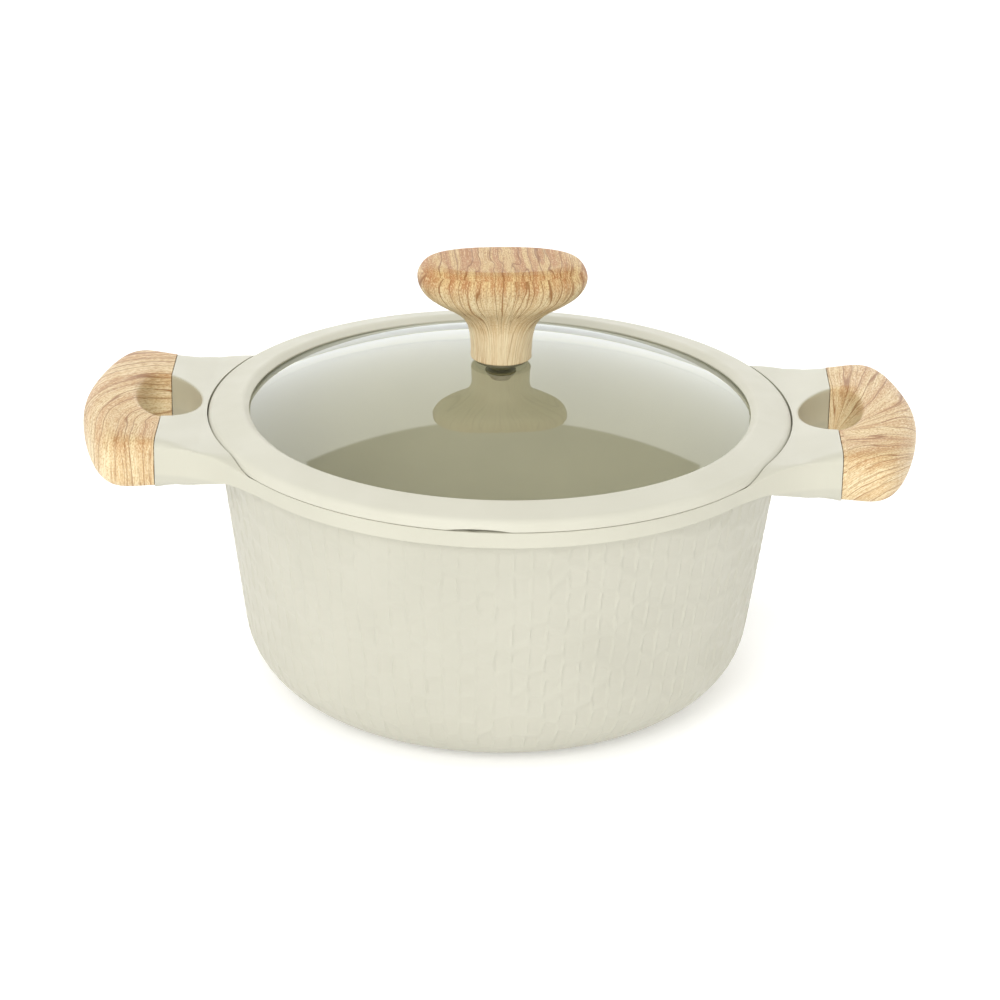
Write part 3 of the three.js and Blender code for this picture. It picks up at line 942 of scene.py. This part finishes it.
def glass_top(radius):
    """Height of the glass's upper face at a radius."""
    sag = DOME_TOP - MARGIN_TOP
    curve = (DOME_RADIUS**2 + sag**2) / (2 * sag)
    radius = np.asarray(radius, float)
    dome = DOME_TOP - curve + np.sqrt(curve**2 - radius**2)
    margin = MARGIN_TOP - (radius - DOME_RADIUS) * MARGIN_SLOPE
    return np.where(radius > DOME_RADIUS, margin, dome)


def lid_glass():
    """The domed pane with a ground round edge and a hole for the knob's screw."""
    hole = 5.2
    ground = 0.6  # width of the ground edge
    radius = np.append(np.linspace(hole + ground, GLASS_RADIUS - 2 * ground, 90), GLASS_RADIUS - 0.5)
    top = np.stack((radius, glass_top(radius)), 1)
    bottom = np.stack((radius, glass_top(radius) - GLASS_THICKNESS), 1)
    rim_height = glass_top(GLASS_RADIUS) - GLASS_THICKNESS / 2
    hole_height = glass_top(hole) - GLASS_THICKNESS / 2
    outer_edge = [(GLASS_RADIUS, rim_height - 1), (GLASS_RADIUS, rim_height + 1)]
    inner_edge = [(hole, hole_height + 1.2), (hole, hole_height - 1.2)]
    profile = np.vstack((bottom, outer_edge, top[::-1], inner_edge))
    thing = turned("lid_glass", profile, 320)
    return finished(thing, "lid_glass", GLASS, "lid", 60)


def lid_seal():
    """The silicone rim: a groove round the glass, a foot on the pot and a lip with a steam vent."""
    foot = RIM + GAP
    groove = GLASS_RADIUS + GAP
    lip = MOUTH_RADIUS - 0.6
    under_glass = float(glass_top(groove)) - GLASS_THICKNESS - GAP
    inner = 111.5  # bore of the rim under the glass
    shoulder = 126.3  # height where the outside turns in to the top
    outline = [
        (lip - 3.2, SEAL_FOOT, 0.7),
        (lip - 1.2, SEAL_FOOT, 0.7),
        (lip, foot - 0.8, 0.3),
        (lip, foot, 0),
        (SEAL_RADIUS, foot, 0.5),
        (SEAL_RADIUS - 0.15, shoulder, 3.2),
        (WINDOW_RADIUS + 3, SEAL_TOP, 3.0),
        (WINDOW_RADIUS, SEAL_TOP - 2.2, 0.3),
        (WINDOW_RADIUS, float(glass_top(WINDOW_RADIUS)) + 0.1, 0.15),
        (groove, float(glass_top(groove)) + 0.1, 0),
        (groove, under_glass, 0),
        (inner, float(glass_top(inner)) - GLASS_THICKNESS - GAP, 0.3),
        (inner, foot + 0.3, 0.5),
        (lip - 4, foot - 0.6, 0),
    ]
    profile = filleted(outline)
    closed = resampled(np.vstack((profile, profile[:1])), 1.5)[:-1]
    steps = 720
    points = turned_points(closed, steps)
    azimuth = math.radians(-93.2)  # the vent is a little left of the middle of the front
    angle = np.arange(steps) * math.tau / steps
    sideways = SEAL_RADIUS * np.sin(angle - azimuth)
    near = np.cos(angle - azimuth) > 0
    arch_half, arch_rise, slot_half = 13.5, 1.1, 4.5
    rise = np.where(near, arch_rise * np.clip(1 - (sideways / arch_half) ** 2, 0, None), 0)
    low_face = (points[:, :, 2] < foot + 0.7) & (closed[:, 0] > lip - 0.1)[:, None]
    points[:, :, 2] += np.where(low_face, rise[None, :], 0)
    slot = near & (abs(sideways) < slot_half)
    lip_points = (points[:, :, 2] < foot + arch_rise) & (closed[:, 0] <= lip)[:, None]
    points[:, :, 2] = np.where(lip_points & slot[None, :], foot + arch_rise, points[:, :, 2])
    faces = grid_faces(len(closed), steps, closed_rows=True, closed_columns=True)
    thing = solid("lid_seal", points.reshape(-1, 3), faces)
    return finished(thing, "lid_seal", SEAL_SILICONE, "lid", 50)


# (radius, height above the knob's base) along its front view, from the stem up to the cap
KNOB_PROFILE = [
    (13.3, 0.0),
    (13.4, 5.0),
    (13.9, 10.5),
    (15.2, 15.4),
    (18.2, 19.6),
    (22.8, 22.9),
    (28.2, 25.9),
    (33.2, 29.4),
    (36.1, 33.4),
    (36.9, 37.2),
    (35.7, 40.6),
    (33.2, 43.2),
    (28.8, 44.3),
]


def curve_through(points, steps):
    """A smooth line through all the points (Catmull-Rom)."""
    points = np.asarray(points, float)
    padded = np.vstack((2 * points[0] - points[1], points, 2 * points[-1] - points[-2]))
    share = (np.arange(steps) / steps)[:, None]
    parts = []
    for index in range(len(points) - 1):
        before, start, end, after = padded[index:index + 4]
        parts.append(
            0.5 * (2 * start + (end - before) * share
                   + (2 * before - 5 * start + 4 * end - after) * share**2
                   + (3 * start - before - 3 * end + after) * share**3)
        )
    return np.vstack((*parts, points[-1:]))


def knob():
    """A round stem that flares into an oblong cap with a flat top, bored from below."""
    turn = math.radians(5)
    half_length = max(radius for radius, _ in KNOB_PROFILE)
    half_width = 22.0
    stem_radius = 13.4
    bore_radius, bore_depth = 4.8, 14
    round_below, oblong_above = 158, 183  # heights between which the section changes
    top_start = KNOB_LOW + 41.5
    side = curve_through(KNOB_PROFILE, 8)
    side[:, 1] += KNOB_LOW
    top_radius = np.linspace(side[-1, 0], 0, 24)[1:]
    top_height = KNOB_HIGH - (KNOB_HIGH - side[-1, 1]) * (top_radius / side[-1, 0]) ** 2
    bore = [(0, KNOB_LOW + bore_depth), (bore_radius, KNOB_LOW + bore_depth)]
    bore += [(bore_radius, KNOB_LOW + 0.4), (bore_radius + 0.4, KNOB_LOW)]
    foot = [(stem_radius - 0.6, KNOB_LOW), (stem_radius - 0.2, KNOB_LOW + 0.15)]
    foot.append((stem_radius, KNOB_LOW + 0.6))
    line = np.vstack((bore, foot, side[1:], np.stack((top_radius, top_height), 1)))
    steps = 256
    angle = np.arange(steps) * math.tau / steps
    share = smoothstep(line[:, 1], round_below, oblong_above)[:, None]
    power = 1 - 0.2 * share
    radius = line[:, 0][:, None]
    narrowing = 1 - (1 - half_width / half_length) * share
    x = radius * signed_power(np.cos(angle), power)
    y = radius * signed_power(np.sin(angle), power) * narrowing
    z = np.broadcast_to(line[:, 1][:, None], x.shape)
    # The print runs down from the top, narrowing with the stem
    travelled = np.append(0, np.cumsum(np.linalg.norm(np.diff(line, axis=0), axis=1)))[:, None]
    on_top = line[:, 1] > top_start
    reach = np.where(on_top, half_length, np.clip(line[:, 0], stem_radius, None))[:, None]
    lean = 0.6 * np.clip(KNOB_LOW + 30 - line[:, 1], 0, None)[:, None]
    across = x / reach * half_length + lean * smoothstep(x / reach, -0.6, 0.9)
    pale_stem = smoothstep(line[:, 1], KNOB_LOW + 20, KNOB_LOW + 10)
    # Upper faces take the print's top colours and a painted shade
    face = smoothstep(line[:, 1], KNOB_LOW + 28, KNOB_LOW + 44) - pale_stem
    face = np.broadcast_to(face[:, None], x.shape)
    along = np.broadcast_to(travelled, x.shape) + np.where(on_top[:, None], y, 0)
    faces = grid_faces(len(line), steps, closed_columns=True)
    grain = (across.ravel(), along.ravel(), face.ravel())
    thing = solid("knob", np.stack((x, y, z), 2).reshape(-1, 3), faces, grain)
    thing.data.transform(Matrix.Rotation(turn, 4, "Z"))
    return finished(thing, "knob", WOOD, "lid", 50)


def ring_piece(node, material, edge=0.2):
    """A ring round the knob's screw that fills its CAD node's box."""
    low, high = corners(node)
    finished(washer(SCREW_BORE, high[1], low[2], high[2], edge=edge), node, material, "lid", 40)


def knob_gasket():
    """A soft ring between knob and glass, with a sleeve down through the glass."""
    low, high = corners("knob_gasket")
    sleeve = 4.9
    flange = DOME_TOP + GAP
    outline = [
        (SCREW_BORE, low[2], 0.1),
        (sleeve, low[2], 0.1),
        (sleeve, flange, 0.1),
        (high[1], flange, 0.4),
        (high[1], high[2], 0.4),
        (SCREW_BORE, high[2], 0.1),
    ]
    thing = turned("gasket", filleted(outline), 128)
    finished(thing, "knob_gasket", DARK_SILICONE, "lid", 40)


def knob_fixings():
    """All that holds the knob on the glass."""
    knob_gasket()
    ring_piece("knob_insert", BRASS)
    ring_piece("knob_soft_washer", DARK_SILICONE, 0.3)
    ring_piece("knob_steel_washer", STEEL)
    head_radius = KNOB_SCREW_HIGH[0]
    made = screw(2.5, head_radius, KNOB_SCREW_LOW[2], 2.0, KNOB_SCREW_HIGH[2])
    finished(made, "knob_screw", STEEL, "lid", 30)


# The stage


def camera():
    """A long lens in front of and above the pot, turned a little to its own right."""
    lens = bpy.data.cameras.new("camera")
    lens.sensor_width = 36
    lens.lens = 127.36  # millimetres, as is the sensor's width
    thing = bpy.data.objects.new("camera", lens)
    bpy.context.scene.collection.objects.link(thing)
    elevation, azimuth, roll = (math.radians(angle) for angle in (23.527, 0.287, 1.089))
    target = Vector((0, 0, 60)) * MM
    aim_right, aim_up = 0.0276, 0.7369  # degrees from the target to the middle of the view
    distance = 1582.35 * MM
    ahead = Matrix.Rotation(azimuth, 3, "Z") @ Matrix.Rotation(-elevation, 3, "X") @ Vector((0, 1, 0))
    thing.location = target - ahead * distance
    right = ahead.cross(Vector((0, 0, 1))).normalized()
    up = right.cross(ahead)
    aim = ahead + right * math.tan(math.radians(aim_right)) + up * math.tan(math.radians(aim_up))
    level = aim.to_track_quat("-Z", "Y").to_matrix()
    thing.rotation_euler = (level @ Matrix.Rotation(roll, 3, "Z")).to_euler()
    bpy.context.scene.camera = thing


def stage_floor():
    """A wide pale floor just under the pot."""
    half = 6000.0
    rows = 9
    below = 0.05
    side = np.linspace(-half, half, rows)
    x, y = np.meshgrid(side, side)
    points = np.stack((x, y, np.full(x.shape, -below)), 2).reshape(-1, 3)
    thing = solid("floor", points, grid_faces(rows, rows))
    thing.data.materials.append(floor_paint())


def area_light(name, place, size, power):
    """A square softbox, placed in metres, that faces the pot and is not mirrored in the glass."""
    light = bpy.data.lights.new(name, "AREA")
    light.size = size
    light.energy = power
    thing = bpy.data.objects.new(name, light)
    bpy.context.scene.collection.objects.link(thing)
    thing.visible_glossy = False
    thing.location = place
    aim = Vector((0, 0, 0.08)) - Vector(place)
    thing.rotation_euler = aim.to_track_quat("-Z", "Y").to_euler()


def studio():
    """A bright panel behind, softer light all round below the ceiling, and two softboxes."""
    world = bpy.data.worlds.new("studio")
    bpy.context.scene.world = world
    world.use_nodes = True
    nodes = world.node_tree.nodes
    link = world.node_tree.links.new

    def value(kind, *inputs, **settings):
        made = nodes.new(f"ShaderNode{kind}")
        for key, setting in settings.items():
            setattr(made, key, setting)
        for socket, given in zip(made.inputs, inputs):
            if isinstance(given, bpy.types.NodeSocket):
                link(given, socket)
            else:
                socket.default_value = given
        return made.outputs[0]

    def fall(amount, start, end, high=1.0):
        """Goes smoothly from high down to 0 as the amount goes from start to end."""
        return value("MapRange", amount, start, end, high, 0.0, interpolation_type="SMOOTHSTEP")

    parts = nodes.new("ShaderNodeSeparateXYZ")
    link(nodes.new("ShaderNodeTexCoord").outputs["Generated"], parts.inputs[0])
    x, y, z = parts.outputs
    # The panel ends on a sloping line, which the dome mirrors as the edge of its bright part
    line_slope, line_tilt = -0.98, 0.08
    tilted = value("Math", x, line_tilt, z, operation="MULTIPLY_ADD")
    past_line = value("Math", y, line_slope, tilted, operation="MULTIPLY_ADD")
    panel = fall(past_line, -0.010, 0.019, PANEL - CEILING)
    surround_top, ceiling_start = 0.6, 0.8
    front_full, front_end = -0.35, 0.0
    below_ceiling = fall(z, surround_top, ceiling_start)
    front = value("Math", below_ceiling, fall(y, front_full, front_end), operation="MULTIPLY")
    lean = value("Math", x, -SIDE_LEAN, SURROUND - CEILING, operation="MULTIPLY_ADD")
    front = value("Math", front, lean, operation="MULTIPLY")
    total = value("Math", value("Math", panel, front, operation="MAXIMUM"), CEILING, operation="ADD")
    link(total, nodes["Background"].inputs["Strength"])
    nodes["Background"].inputs["Color"].default_value = (1, 1, 1, 1)
    area_light("front_softbox", (-0.5, -2.3, 1.6), 1.4, FRONT_POWER)
    area_light("top_softbox", (0.0, -0.5, 2.4), 1.2, TOP_POWER)


camera()
studio()
stage_floor()
bpy.context.scene.view_settings.view_transform = "Standard"

pot()
induction_plate()
grip("grip_right", 0.0)
grip("grip_left", math.pi)
grip_fasteners(1, "right")
grip_fasteners(-1, "left")
lid_glass()
lid_seal()
knob()
knob_fixings()
